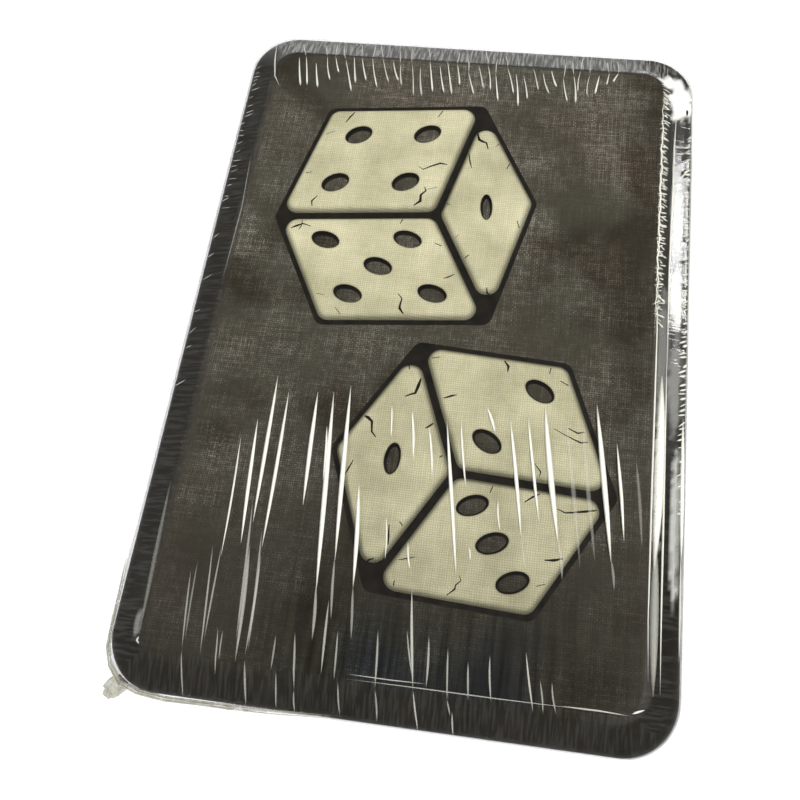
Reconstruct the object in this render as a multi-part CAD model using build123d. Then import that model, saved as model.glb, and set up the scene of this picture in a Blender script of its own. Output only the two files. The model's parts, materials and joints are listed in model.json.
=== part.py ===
from build123d import *
import math
import os

# Slip-lid tin for a set of dice: a drawn tray, a pressed lid with a raised and embossed panel,
# foam that holds seven dice, and the clear shrink film that is still on it.
# X runs across the tin, Y along it and Z up. The origin is under the middle of the film's underside.
# All sizes are in millimetres, angles in degrees.

# Lid
LID_WIDTH = 100.0
LID_LENGTH = 145.0
LID_CORNER = 10.0
SHEET = 0.4              # tinplate with its print and varnish
SKIRT_DEPTH = 12.0       # from the flat margin down to the folded edge
LID_EDGE_ROUND = 1.6     # bend from skirt to margin
MARGIN = 4.6             # from the skirt's outer face to the foot of the step
STEP_RUN = 2.4           # the step's width in plan
STEP_RISE = 2.2          # the raised panel above the margin
PANEL_CORNER = 6.5       # plan radius at the foot of the step
STEP_RIDGE_ROUND = 1.0   # bend from step to panel
HEM_HEIGHT = 2.4         # lower edge of the skirt, folded flat against its inside

# Tray
TRAY_EDGE_ROUND = 1.6
RIM_RADIUS = 0.7         # rolled upper edge, curled inwards
SLIP_CLEARANCE = 0.3     # between the lid's folded edge and the tray wall, each side
LID_SEAT_GAP = 0.2       # between the tray's rolled rim and the underside of the margin
FOOT_RING = 5.0          # flat ring that the tray stands on
FLOOR_RISE = 0.8         # the floor inside that ring stands this much higher
FLOOR_RUN = 0.9          # plan width of the slope up to it

# Embossed pattern: two tumbling six-sided dice, each face a raised pad with sunk pips
EMBOSS_RISE = 1.2
EMBOSS_RUN = 0.9         # plan width of a pad's sloping side
PAD_GAP = 1.3            # groove between two faces of one die
PAD_CORNER = 2.6
PIP_RADIUS = 3.0
PATTERN_SIDE = 5.4       # from the panel's ridge to the pattern, at the sides
PATTERN_END = 11.4       # and at the ends; the pattern is as large as both allow
UPPER_DIE = {"middle": (-9.0, 26.5), "edge": 37.0, "yaw": 30.0, "tilt": 52.0, "roll": -14.0}
LOWER_DIE = {"middle": (11.0, -28.0), "edge": 34.0, "yaw": 52.0, "tilt": 53.0, "roll": 22.0}
UPPER_PIPS = (5, 1, 4)   # pips on the die's first, second and third face
LOWER_PIPS = (3, 2, 1)
PIP_PLACES = {           # shares of the face's two edges
    1: ((0.5, 0.5),),
    2: ((0.27, 0.27), (0.73, 0.73)),
    3: ((0.24, 0.24), (0.5, 0.5), (0.76, 0.76)),
    4: ((0.28, 0.28), (0.28, 0.72), (0.72, 0.28), (0.72, 0.72)),
    5: ((0.25, 0.25), (0.25, 0.75), (0.75, 0.25), (0.75, 0.75), (0.5, 0.5)),
}

# Foam
FOAM_CLEARANCE = 0.2     # to the tray wall, each side
FOAM_FLOOR = 2.0         # plain sheet under the wells
FOAM_DEPTH = 14.0        # sheet with the wells cut through it
LID_PAD = 3.2
LID_PAD_CLEARANCE = 1.2
WELL_CLEARANCE = 0.7     # round a die's widest circle
WELL_TO_SIDE = 7.8       # foam left between the outer wells and the insert's sides
WELL_TO_END = 11.86      # and its ends
HEADROOM = 3.3           # from the tallest die to the lid's pad

# Dice: across flats, and along an edge where a die has no opposite flats
D4_EDGE = 20.0
D6_ACROSS = 16.0
D8_ACROSS = 15.0
D10_ACROSS = 15.6
D12_ACROSS = 18.4
D20_ACROSS = 20.0
D10_STEEPNESS = 42.0     # between a ten-sided die's faces and its long axis
TIP_BLUNTING = 0.965     # share of the corner radius left when the tips are rounded off

# Shrink film
FILM = 0.15
CLING = 0.1              # air between the film and the metal under it
SLIT = 0.3               # the film is cut round the tin at the lid's lower edge
CROWN_INSET = 4.0        # from the panel's ridge to where the film lies level over the embossing
CROWN_CORNER = 10.0
EAR_REACH = 3.6          # gathered end of the film's seam at one corner
EAR_HEIGHT = 4.0
EAR_THICKNESS = 1.2

# Heights and insets that follow from the sizes above
D4_HEIGHT = D4_EDGE * math.sqrt(2 / 3)
TALLEST_DIE = max(D4_HEIGHT, D6_ACROSS, D8_ACROSS, D10_ACROSS, D12_ACROSS, D20_ACROSS)
TRAY_BOTTOM = FILM
FOAM_BOTTOM = TRAY_BOTTOM + SHEET + FLOOR_RISE
WELL_BOTTOM = FOAM_BOTTOM + FOAM_FLOOR
PANEL_TOP = WELL_BOTTOM + TALLEST_DIE + HEADROOM + LID_PAD + SHEET
MARGIN_TOP = PANEL_TOP - STEP_RISE
TRAY_TOP = MARGIN_TOP - SHEET - LID_SEAT_GAP
SKIRT_FOOT = MARGIN_TOP - SKIRT_DEPTH
RIDGE_INSET = MARGIN + STEP_RUN
RIDGE_CORNER = PANEL_CORNER - STEP_RUN
TRAY_INSET = 2 * SHEET + SLIP_CLEARANCE
FOAM_INSET = TRAY_INSET + SHEET + FOAM_CLEARANCE
BELOW = 5.0              # how far a cutting body runs past a shell's open side


def bend_shift(depth, rise, run):
    """How far a bend between a flat and a slope moves sideways on a face that lies depth under the sheet's top."""
    return depth * math.tan(math.atan2(rise, run) / 2)


def slope(rise, run):
    """The draft of a side that comes in by run over its rise."""
    return math.degrees(math.atan2(run, rise))


def plan(inset, corner=None):
    """The lid's outline drawn in by inset all round."""
    radius = LID_CORNER - inset if corner is None else corner
    return RectangleRounded(LID_WIDTH - 2 * inset, LID_LENGTH - 2 * inset, radius)


def prism(inset, bottom, top, corner=None, taper=0.0):
    return extrude(Pos(0, 0, bottom) * plan(inset, corner), top - bottom, dir=(0, 0, 1), taper=taper)


def ring_at(solid, height):
    """The closed ring of edges that lies level at that height."""
    return [e for e in solid.edges() if abs(e.bounding_box().min.Z - height) < 1e-3
            and abs(e.bounding_box().max.Z - height) < 1e-3]


def rolled_edge(inset, radius, height):
    """A round rolled edge whose middle runs along the outline at that inset."""
    path = Pos(0, 0, height) * plan(inset).wire()
    section = Plane(origin=path.position_at(0), z_dir=path.tangent_at(0)) * Circle(radius)
    return sweep(section, path=path)


# Embossed pattern

def cube_faces(middle, edge, yaw, tilt, roll):
    """The three upper faces of a tumbled cube, seen from above: a corner, two edges and the face's normal."""
    axes = []
    for axis in (Vector(1, 0, 0), Vector(0, 1, 0), Vector(0, 0, 1)):
        axis = axis.rotate(Axis.Z, yaw).rotate(Axis.X, tilt).rotate(Axis.Z, roll)
        axes.append(axis if axis.Z > 0 else -axis)
    faces = []
    for first, second, normal in ((0, 1, 2), (1, 2, 0), (2, 0, 1)):
        corner = Vector(*middle) + (axes[normal] - axes[first] - axes[second]) * (edge / 2)
        faces.append((flat(corner), flat(axes[first] * edge), flat(axes[second] * edge), axes[normal]))
    return faces


def flat(vector):
    return Vector(vector.X, vector.Y, 0)


def pattern():
    """The faces of both dice, grown or shrunk together to fill the panel, each with its count of pips."""
    drawn = []
    for die, pips in ((UPPER_DIE, UPPER_PIPS), (LOWER_DIE, LOWER_PIPS)):
        drawn += zip(cube_faces(**die), pips)
    corners = [c for (corner, along, across, _), _ in drawn
               for c in (corner, corner + along, corner + across, corner + along + across)]
    room_x = LID_WIDTH / 2 - RIDGE_INSET - PATTERN_SIDE
    room_y = LID_LENGTH / 2 - RIDGE_INSET - PATTERN_END
    scale = min(room_x / max(abs(c.X) for c in corners), room_y / max(abs(c.Y) for c in corners))
    return [((corner * scale, along * scale, across * scale, normal), pips)
            for (corner, along, across, normal), pips in drawn]


def pad_outline(face, inset):
    """A die's face in plan, drawn in by inset, with rounded corners."""
    corner, along, across, _ = face
    outline = make_face(Polyline(corner, corner + along, corner + along + across, corner + across, close=True))
    outline = offset(outline, -inset, kind=Kind.INTERSECTION)
    return fillet(outline.vertices(), PAD_CORNER)


def pip_outline(face, place, grow):
    """A round pip on a slanting face, which is an ellipse in plan."""
    corner, along, across, normal = face
    middle = corner + along * place[0] + across * place[1]
    lean = math.degrees(math.atan2(normal.Y, normal.X)) + 90
    return Pos(middle.X, middle.Y) * Rot(0, 0, lean) * oval(PIP_RADIUS + grow, PIP_RADIUS * normal.Z + grow)


def oval(long_radius, short_radius):
    """An ellipse drawn with four arcs that meet smoothly."""
    end = short_radius ** 1.5 / long_radius ** 0.5
    side = (long_radius ** 2 + short_radius ** 2 - 2 * long_radius * end) / (2 * (short_radius - end))
    out, up = long_radius - end, side - short_radius
    reach = side / math.hypot(out, up)
    meet = Vector(out * reach, up * (reach - 1))
    quarter = [(-meet.X, meet.Y), (meet.X, meet.Y), (meet.X, -meet.Y), (-meet.X, -meet.Y)]
    crests = [(0, short_radius), (long_radius, 0), (0, -short_radius), (-long_radius, 0)]
    arcs = [ThreePointArc(quarter[k], crests[k], quarter[(k + 1) % 4]) for k in range(4)]
    return make_face(arcs)


def emboss(depth):
    """The raised pads of the pattern, on the face that lies depth under the sheet's top."""
    shift = bend_shift(depth, EMBOSS_RISE, EMBOSS_RUN)
    base = Pos(0, 0, PANEL_TOP - depth)
    pads = []
    for face, pips in pattern():
        pad = extrude(base * pad_outline(face, PAD_GAP / 2 + shift), EMBOSS_RISE,
                      taper=slope(EMBOSS_RISE, EMBOSS_RUN))
        for place in PIP_PLACES[pips]:
            pad -= extrude(base * pip_outline(face, place, depth), EMBOSS_RISE)
        pads.append(pad)
    return pads


# Tin

def lid_form(depth, bottom):
    """The lid's form on the face that lies depth under the sheet's outside."""
    margin = MARGIN_TOP - depth
    shift = bend_shift(depth, STEP_RISE, STEP_RUN)
    form = prism(depth, bottom, margin)
    form = fillet(ring_at(form, margin), LID_EDGE_ROUND - depth)
    form += prism(MARGIN + shift, margin - BELOW, margin, PANEL_CORNER - shift)
    form += prism(MARGIN + shift, margin, margin + STEP_RISE, PANEL_CORNER - shift, slope(STEP_RISE, STEP_RUN))
    return form


def lid_shell():
    shell = fillet(ring_at(lid_form(0, SKIRT_FOOT), PANEL_TOP), STEP_RIDGE_ROUND)
    for pad in emboss(0):
        shell += pad
    shell -= lid_form(SHEET, SKIRT_FOOT - BELOW)
    for pad in emboss(SHEET):
        shell -= pad
    hem = prism(SHEET, SKIRT_FOOT, SKIRT_FOOT + HEM_HEIGHT) - prism(2 * SHEET, SKIRT_FOOT, SKIRT_FOOT + HEM_HEIGHT)
    return shell + hem


def tray_form(depth, top):
    """The tray's form on the face that lies depth inside the sheet's outside."""
    bottom = TRAY_BOTTOM + depth
    form = prism(TRAY_INSET + depth, bottom, top)
    return fillet(ring_at(form, bottom), TRAY_EDGE_ROUND - depth)


def tray_floor(depth):
    """The raised middle of the floor."""
    bottom = TRAY_BOTTOM + depth
    inset = TRAY_INSET + FOOT_RING - bend_shift(depth, FLOOR_RISE, FLOOR_RUN)
    return prism(inset, bottom, bottom + FLOOR_RISE, LID_CORNER - MARGIN, slope(FLOOR_RISE, FLOOR_RUN))


def tray():
    shell = tray_form(0, TRAY_TOP - RIM_RADIUS) - tray_form(SHEET, TRAY_TOP + BELOW)
    shell += tray_floor(SHEET)
    shell -= tray_floor(0)
    return shell + rolled_edge(TRAY_INSET + RIM_RADIUS, RIM_RADIUS, TRAY_TOP - RIM_RADIUS)


# Dice

def polyhedron(normals, reach):
    """A solid bounded by one flat at that distance along each normal, resting on the flat opposite the first."""
    size = 8 * reach
    solid = Box(size, size, size)
    for normal in normals:
        solid = split(solid, bisect_by=Plane(origin=normal * reach, z_dir=normal), keep=Keep.BOTTOM)
    corners = [Vector(*v).length for v in solid.vertices()]
    return solid & Sphere(max(corners) * TIP_BLUNTING)


def laid(solid, down, height):
    """The die turned so that the flat in the direction down lies on the floor of its well."""
    level = Plane(origin=(0, 0, 0), z_dir=down * -1)
    turned = level.to_local_coords(solid)
    return Pos(0, 0, WELL_BOTTOM + height) * turned


def directions(*vectors):
    return [Vector(*v).normalized() for v in vectors]


def signed(x, y, z):
    """The vector with every choice of signs."""
    return sorted({(a, b, c) for a in (x, -x) for b in (y, -y) for c in (z, -z)}, reverse=True)


def cyclic(triples):
    return [t for v in triples for t in (v, (v[2], v[0], v[1]), (v[1], v[2], v[0]))]


GOLDEN = (1 + math.sqrt(5)) / 2


def die_d4():
    normals = directions((1, 1, 1), (1, -1, -1), (-1, 1, -1), (-1, -1, 1))
    reach = D4_EDGE / math.sqrt(24)
    return laid(polyhedron(normals, reach), normals[0], reach)


def die_d6():
    normals = directions((1, 0, 0), (-1, 0, 0), (0, 1, 0), (0, -1, 0), (0, 0, 1), (0, 0, -1))
    return laid(polyhedron(normals, D6_ACROSS / 2), normals[-1], D6_ACROSS / 2)


def die_d8():
    normals = directions(*signed(1, 1, 1))
    return laid(polyhedron(normals, D8_ACROSS / 2), normals[-1], D8_ACROSS / 2)


def die_d10():
    steep = math.radians(D10_STEEPNESS)
    normals = []
    for k in range(10):
        turn = math.radians(36 * k)
        rise = math.sin(steep) * (1 if k % 2 == 0 else -1)
        normals.append(Vector(math.cos(steep) * math.cos(turn), math.cos(steep) * math.sin(turn), rise))
    return laid(polyhedron(normals, D10_ACROSS / 2), normals[5], D10_ACROSS / 2)


def die_d12():
    normals = directions(*cyclic(signed(0, 1, GOLDEN)))
    return laid(polyhedron(normals, D12_ACROSS / 2), normals[0], D12_ACROSS / 2)


def die_d20():
    normals = directions(*signed(1, 1, 1), *cyclic(signed(0, 1 / GOLDEN, GOLDEN)))
    return laid(polyhedron(normals, D20_ACROSS / 2), normals[0], D20_ACROSS / 2)


# Foam

def well_radius(die):
    box = die.bounding_box()
    widest = max(math.hypot(v.X, v.Y) for v in die.vertices())
    return max(widest, box.max.X, box.max.Y, -box.min.X, -box.min.Y) + WELL_CLEARANCE


def well_places(dice):
    """The middle of each well: the largest die in the middle, the others round it in a hexagon."""
    radius = {name: well_radius(die) for name, die in dice.items()}
    side = max(radius[name] for name in ("die_d12", "die_d10", "die_d10_tens", "die_d6"))
    end = max(radius[name] for name in ("die_d8", "die_d4"))
    column = LID_WIDTH / 2 - FOAM_INSET - WELL_TO_SIDE - side
    row = (LID_LENGTH / 2 - FOAM_INSET - WELL_TO_END - end) / 2
    return {
        "die_d20": (0, 0),
        "die_d12": (-column, row),
        "die_d10": (column, row),
        "die_d10_tens": (-column, -row),
        "die_d6": (column, -row),
        "die_d8": (0, 2 * row),
        "die_d4": (0, -2 * row),
    }


def foam_floor():
    return prism(FOAM_INSET, FOAM_BOTTOM, WELL_BOTTOM)


def foam_insert(dice, places):
    sheet = prism(FOAM_INSET, WELL_BOTTOM, WELL_BOTTOM + FOAM_DEPTH)
    for name, die in dice.items():
        sheet -= Pos(*places[name], WELL_BOTTOM) * extrude(Circle(well_radius(die)), FOAM_DEPTH)
    return sheet


def lid_pad():
    top = PANEL_TOP - SHEET
    return prism(RIDGE_INSET + LID_PAD_CLEARANCE, top - LID_PAD, top, RIDGE_CORNER)


# Film

def shoulder(reach):
    """The height at which film stretched from the panel's ridge past the lid's rounded edge meets the skirt."""
    rise = PANEL_TOP - (MARGIN_TOP - LID_EDGE_ROUND)
    run = RIDGE_INSET - LID_EDGE_ROUND
    lean = math.atan2(rise, run) - math.asin(LID_EDGE_ROUND / math.hypot(rise, run))
    return PANEL_TOP - (RIDGE_INSET + reach) * math.tan(lean) + reach / math.cos(lean)


def wrap_form(reach, bottom):
    """Taut film over the lid at that distance from the metal: skirt, band over the margin, tent and crown."""
    edge = Pos(0, 0, shoulder(reach)) * plan(-reach)
    ridge = Pos(0, 0, PANEL_TOP + reach) * plan(RIDGE_INSET - reach, RIDGE_CORNER + reach)
    crown = Pos(0, 0, PANEL_TOP + EMBOSS_RISE + reach) * plan(RIDGE_INSET + CROWN_INSET, CROWN_CORNER)
    form = prism(-reach, bottom, shoulder(reach))
    form += loft([edge, ridge])
    return form + loft([ridge, crown])


def film_lid():
    return wrap_form(CLING + FILM, SKIRT_FOOT) - wrap_form(CLING, SKIRT_FOOT - BELOW)


def side_form(reach, bottom, top):
    """Taut film from the lid's lower edge down to the foot of the tray."""
    lower = Pos(0, 0, bottom) * plan(TRAY_INSET - reach)
    upper = Pos(0, 0, top) * plan(-reach)
    return loft([lower, upper])


def film_ear():
    """The seam's gathered end, standing out from the front left corner."""
    corner = (LID_CORNER - LID_WIDTH / 2, LID_CORNER - LID_LENGTH / 2)
    inner = LID_CORNER - TRAY_INSET
    middle = (TRAY_BOTTOM + SKIRT_FOOT) / 2
    profile = Plane.XZ * Polyline((inner, middle - EAR_HEIGHT / 4), (LID_CORNER + EAR_REACH, middle - EAR_HEIGHT / 2),
                                  (LID_CORNER + EAR_REACH, middle + EAR_HEIGHT / 2), (inner, middle + EAR_HEIGHT / 4),
                                  close=True)
    ear = extrude(make_face(profile), EAR_THICKNESS / 2, both=True)
    return Pos(*corner) * Rot(0, 0, -135) * ear


def film_sides():
    top = SKIRT_FOOT - SLIT
    sides = side_form(CLING + FILM, FILM, top) + film_ear()
    return sides - side_form(CLING, FILM, top)


def film_underside():
    return prism(TRAY_INSET - CLING - FILM, 0, FILM)


DICE = {
    "die_d20": die_d20(),
    "die_d12": die_d12(),
    "die_d10": die_d10(),
    "die_d10_tens": die_d10(),
    "die_d8": die_d8(),
    "die_d6": die_d6(),
    "die_d4": die_d4(),
}
PLACES = well_places(DICE)
PARTS = {
    "lid_shell": lid_shell(),
    "lid_pad": lid_pad(),
    "tray": tray(),
    "foam_floor": foam_floor(),
    "foam_insert": foam_insert(DICE, PLACES),
    "film_lid": film_lid(),
    "film_sides": film_sides(),
    "film_underside": film_underside(),
}
for name, die in DICE.items():
    PARTS[name] = Pos(*PLACES[name]) * die

os.makedirs("parts", exist_ok=True)
for name, part in PARTS.items():
    export_step(part, f"parts/{name}.step")
    box = part.bounding_box()
    print(f"{name:15s} x {box.min.X:7.2f} {box.max.X:7.2f}  y {box.min.Y:7.2f} {box.max.Y:7.2f}"
          f"  z {box.min.Z:6.2f} {box.max.Z:6.2f}")
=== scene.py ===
import json
import math
import random

import bmesh
import bpy
from mathutils import Euler, Matrix, Vector, noise

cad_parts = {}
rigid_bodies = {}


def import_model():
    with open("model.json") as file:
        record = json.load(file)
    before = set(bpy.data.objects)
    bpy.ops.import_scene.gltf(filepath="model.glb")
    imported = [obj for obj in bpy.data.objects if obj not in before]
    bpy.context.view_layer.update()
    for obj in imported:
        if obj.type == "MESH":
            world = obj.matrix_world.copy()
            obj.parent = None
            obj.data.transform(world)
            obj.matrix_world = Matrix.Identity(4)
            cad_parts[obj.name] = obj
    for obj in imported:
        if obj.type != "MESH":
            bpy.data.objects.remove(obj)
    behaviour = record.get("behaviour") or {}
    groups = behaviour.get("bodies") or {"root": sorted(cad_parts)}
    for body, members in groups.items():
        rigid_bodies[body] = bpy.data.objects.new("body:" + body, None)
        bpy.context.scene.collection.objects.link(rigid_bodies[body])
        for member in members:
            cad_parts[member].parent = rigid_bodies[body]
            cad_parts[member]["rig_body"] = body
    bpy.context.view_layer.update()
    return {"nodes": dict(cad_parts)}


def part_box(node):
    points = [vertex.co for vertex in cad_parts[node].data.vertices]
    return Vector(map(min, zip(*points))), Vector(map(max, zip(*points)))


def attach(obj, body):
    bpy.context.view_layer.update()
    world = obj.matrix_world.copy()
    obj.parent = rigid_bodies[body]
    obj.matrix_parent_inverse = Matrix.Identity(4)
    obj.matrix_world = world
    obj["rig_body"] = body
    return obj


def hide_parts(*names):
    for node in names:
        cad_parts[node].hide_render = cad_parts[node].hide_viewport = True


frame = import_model()

# Slip-lid tin for a set of dice, in its clear shrink film, on a pale table. Metres, Z up, X across the tin.

MM = 0.001

# Sizes of the pressed lid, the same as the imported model's
SHEET = 0.4 * MM
LID_CORNER = 10 * MM
LID_EDGE_ROUND = 1.6 * MM
MARGIN = 4.6 * MM
STEP_RUN = 2.4 * MM
STEP_RISE = 2.2 * MM
PANEL_CORNER = 6.5 * MM
STEP_FOOT_ROUND = 0.9 * MM
STEP_RIDGE_ROUND = 1.2 * MM
HEM_HEIGHT = 2.4 * MM
EMBOSS_RISE = 1.2 * MM
PAD_GAP = 1.3 * MM
PAD_CORNER = 2.6 * MM
PIP_RADIUS = 3.0 * MM
RIDGE_INSET = MARGIN + STEP_RUN

# Tray and foam
SLIP_CLEARANCE = 0.3 * MM
TRAY_INSET = 2 * SHEET + SLIP_CLEARANCE
TRAY_EDGE_ROUND = 1.6 * MM
RIM_RADIUS = 0.7 * MM
FOOT_RING = 5.0 * MM
FLOOR_RISE = 0.8 * MM
FLOOR_RUN = 0.9 * MM
FOAM_INSET = TRAY_INSET + SHEET + 0.2 * MM
PAD_INSET = RIDGE_INSET + 1.2 * MM
WELL_CLEARANCE = 0.7 * MM

# Film
CLING = 0.1 * MM
FILM = 0.15 * MM
REACH = CLING + FILM

# Pattern of two tumbling dice: middle, edge, yaw, tilt, roll and the pips on the three faces
PATTERN_DICE = (
    ((-9.0, 26.5), 37.0, 30.0, 52.0, -14.0, (5, 1, 4)),
    ((11.0, -28.0), 34.0, 52.0, 53.0, 22.0, (3, 2, 1)),
)
PIP_PLACES = {
    1: ((0.5, 0.5),),
    2: ((0.27, 0.27), (0.73, 0.73)),
    3: ((0.24, 0.24), (0.5, 0.5), (0.76, 0.76)),
    4: ((0.28, 0.28), (0.28, 0.72), (0.72, 0.28), (0.72, 0.72)),
    5: ((0.25, 0.25), (0.25, 0.75), (0.75, 0.25), (0.75, 0.75), (0.5, 0.5)),
}

lid_low, lid_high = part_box("lid_shell")
tray_low, tray_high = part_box("tray")
foam_low, foam_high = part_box("foam_insert")
floor_low, floor_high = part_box("foam_floor")
pad_low, pad_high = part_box("lid_pad")
SKIRT_FOOT = lid_low.z
PANEL_TOP = lid_high.z - EMBOSS_RISE
MARGIN_TOP = PANEL_TOP - STEP_RISE

# Camera, where the photograph was taken from
CAMERA_PLACE = (18.48 * MM, -69.98 * MM, 190.0 * MM)
CAMERA_TURN = (22.809, 3.463, 7.354)
FOCAL_LENGTH = 40.013
SENSOR = 36.0
IMAGE = 800
VIEW_CENTRE = (430, 350)     # the pixel that the lens points at


def add_object(name, data):
    made = bpy.data.objects.new(name, data)
    bpy.context.scene.collection.objects.link(made)
    return made


def make_camera():
    data = bpy.data.cameras.new("camera")
    data.lens = FOCAL_LENGTH
    data.sensor_width = SENSOR
    data.shift_x = 0.5 - VIEW_CENTRE[0] / IMAGE
    data.shift_y = VIEW_CENTRE[1] / IMAGE - 0.5
    data.clip_start = 0.01
    camera = add_object("camera", data)
    camera.location = CAMERA_PLACE
    camera.rotation_euler = [math.radians(a) for a in CAMERA_TURN]
    bpy.context.scene.camera = camera


def at_pixel(x, y, height):
    """The point at that height that the photograph shows at pixel x, y."""
    scale = SENSOR / FOCAL_LENGTH / IMAGE
    ray = Vector(((x - VIEW_CENTRE[0]) * scale, (VIEW_CENTRE[1] - y) * scale, -1))
    ray.rotate(Euler([math.radians(a) for a in CAMERA_TURN]))
    start = Vector(CAMERA_PLACE)
    return start + ray * ((height - start.z) / ray.z)


# Materials

class Nodes:
    """The nodes of a material or of the world, and short ways to add to them."""

    def __init__(self, owner):
        self.owner = owner
        owner.use_nodes = True
        self.tree = owner.node_tree
        self.tree.nodes.clear()

    def add(self, kind, inputs=None, **fields):
        node = self.tree.nodes.new("ShaderNode" + kind)
        for field, value in fields.items():
            setattr(node, field, value)
        for key, value in (inputs or {}).items():
            if isinstance(value, bpy.types.NodeSocket):
                self.tree.links.new(value, node.inputs[key])
            else:
                node.inputs[key].default_value = value
        return node

    def math(self, operation, a, b=0.0, c=0.0):
        return self.add("Math", {0: a, 1: b, 2: c}, operation=operation).outputs[0]

    def times(self, a, b):
        return self.math("MULTIPLY", a, b)

    def mix(self, share, a, b, blend="MIX"):
        return self.add("Mix", {0: share, 6: a, 7: b}, data_type="RGBA", blend_type=blend).outputs[2]

    def tint(self, a, b):
        """One colour multiplied by another."""
        return self.mix(1.0, a, b, "MULTIPLY")

    def ramp(self, value, *stops):
        node = self.add("ValToRGB", {0: value})
        elements = node.color_ramp.elements
        while len(elements) < len(stops):
            elements.new(0.5)
        for element, (place, colour) in zip(elements, stops):
            element.position = place
            element.color = colour if isinstance(colour, tuple) else grey(colour)
        return node.outputs[0]

    def place(self, scale=(1, 1, 1)):
        """Object coordinates, stretched."""
        return self.add("Mapping", {0: self.add("TexCoord").outputs["Object"], 3: scale}).outputs[0]

    def noise(self, scale, detail=3.0, vector=None, roughness=0.5):
        vector = self.place() if vector is None else vector
        inputs = {"Vector": vector, "Scale": scale, "Detail": detail, "Roughness": roughness}
        return self.add("TexNoise", inputs).outputs[0]

    def attribute(self, name):
        return self.add("Attribute", attribute_name=name).outputs["Fac"]

    def bump(self, height, distance, strength=1.0):
        return self.add("Bump", {"Height": height, "Distance": distance, "Strength": strength}).outputs[0]

    def principled(self, **inputs):
        return self.add("BsdfPrincipled", {k.replace("_", " "): v for k, v in inputs.items()}).outputs[0]


class Finish(Nodes):
    """A material of one of the tin's finishes."""

    def __init__(self, name):
        super().__init__(bpy.data.materials.new(name))

    def done(self, shader):
        self.add("OutputMaterial", {"Surface": shader})
        return self.owner


def grey(value):
    return (value, value, value, 1)


THREAD = 0.43 * MM           # width of one printed thread of the linen ground


def weave(n):
    """A plain weave, 0 between the threads and 1 on them, and a tone that changes from thread to thread."""
    wander = n.add("TexNoise", {"Vector": n.place(), "Scale": 320.0, "Detail": 2.0}).outputs["Color"]
    shift = n.add("VectorMath", {0: wander, 1: (0.0005, 0.0005, 0.0)}, operation="MULTIPLY").outputs[0]
    flat = n.add("VectorMath", {0: n.place((1, 1, 0)), 1: shift}, operation="ADD").outputs[0]
    split = n.add("SeparateXYZ", {0: flat})
    turn = math.pi / THREAD
    across = n.math("ABSOLUTE", n.math("SINE", n.times(split.outputs[0], turn)))
    along = n.math("ABSOLUTE", n.math("SINE", n.times(split.outputs[1], turn)))
    over = n.add("TexChecker", {"Vector": flat, "Scale": 1 / THREAD}).outputs["Fac"]
    long_threads = n.times(along, n.math("MULTIPLY_ADD", across, 0.4, 0.6))
    cross_threads = n.times(across, n.math("MULTIPLY_ADD", along, 0.4, 0.6))
    height = n.mix(over, cross_threads, long_threads)
    tones = []
    for stretch in ((1 / THREAD, 90, 0), (90, 1 / THREAD, 0)):
        tones.append(n.ramp(n.noise(1.0, 2.0, n.place(stretch)), (0.3, 0.0), (0.7, 1.0)))
    tone = n.mix(over, *tones)
    return height, tone


def linen_ground():
    """Printed dark linen: clouded and stained, darkened by painted shade towards the near end, with a painted
    bluish shadow in its middle there.
    """
    n = Finish("linen_ground")
    height, tone = weave(n)
    x, y, z = n.add("SeparateXYZ", {0: n.place()}).outputs
    clouds = n.ramp(n.noise(55.0, 5.0, roughness=0.65), (0.36, 0.18), (0.62, 1.0))
    grain = n.ramp(n.noise(900.0, 3.0), (0.35, 0.4), (0.65, 1.0))
    # painted shade: the print darkens towards the near end, where the light falls off
    painted_shade_to_near = n.ramp(n.math("MULTIPLY_ADD", y, 8.0, 0.5), (0.05, 0.45), (0.65, 1.0))
    fleck = n.times(n.times(height, tone), n.times(clouds, grain))
    fleck = n.times(fleck, painted_shade_to_near)
    colour = n.ramp(fleck, (0.0, (0.050, 0.045, 0.033, 1)), (0.12, (0.086, 0.079, 0.063, 1)),
                    (0.6, (0.30, 0.28, 0.245, 1)))
    warm = n.ramp(n.noise(30.0, 3.0), (0.4, (0.97, 1.0, 0.96, 1)), (0.7, (1.0, 0.95, 0.91, 1)))
    colour = n.tint(colour, warm)
    stain = n.ramp(n.noise(34.0, 2.0, roughness=0.6), (0.36, (0.60, 0.53, 0.48, 1)),
                   (0.47, (1.04, 1.03, 1.02, 1)))
    colour = n.tint(colour, stain)
    # painted bluish shadow over the middle of the near end, broken into streaks
    near = n.ramp(n.math("MULTIPLY_ADD", y, -16.0, -0.4), (0.15, 0.0), (0.6, 1.0))
    middle = n.ramp(n.math("ABSOLUTE", n.math("ADD", x, -0.006)), (0.016, 1.0), (0.038, 0.3))
    near = n.times(near, middle)
    stripes = n.ramp(n.noise(1.0, 3.0, n.place((800, 30, 0))), (0.38, 0.45), (0.58, 1.0))
    painted_blue_shadow = n.ramp(n.noise(35.0, 2.0), (0.45, (0.62, 0.64, 0.60, 1)), (0.62, (0.44, 0.52, 0.72, 1)))
    shadow = n.tint(painted_blue_shadow, stripes)
    colour = n.mix(near, colour, n.tint(colour, shadow))
    # more of the painted shade towards the near end
    colour = n.tint(colour, n.ramp(painted_shade_to_near, (0.45, 0.76), (1.0, 0.97)))
    up_the_step = n.math("MULTIPLY_ADD", z, 1 / STEP_RISE, -MARGIN_TOP / STEP_RISE)
    step = n.ramp(up_the_step, (0.0, 0.0), (1.0, 1.0))
    colour = n.mix(step, (0.020, 0.0175, 0.012, 1), colour)
    return n.done(n.principled(Base_Color=colour, Roughness=0.6, Specular_IOR_Level=0.15))


def dull_coat(name, scale, detail, roughness, dark, light, gloss):
    """A dull coat of lacquer or ink, clouded between two tones."""
    n = Finish(name)
    tone = n.ramp(n.noise(scale, detail, roughness=roughness), (0.3, dark), (0.7, light))
    return n.done(n.principled(Base_Color=tone, Roughness=0.5, Specular_IOR_Level=gloss))


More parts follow.
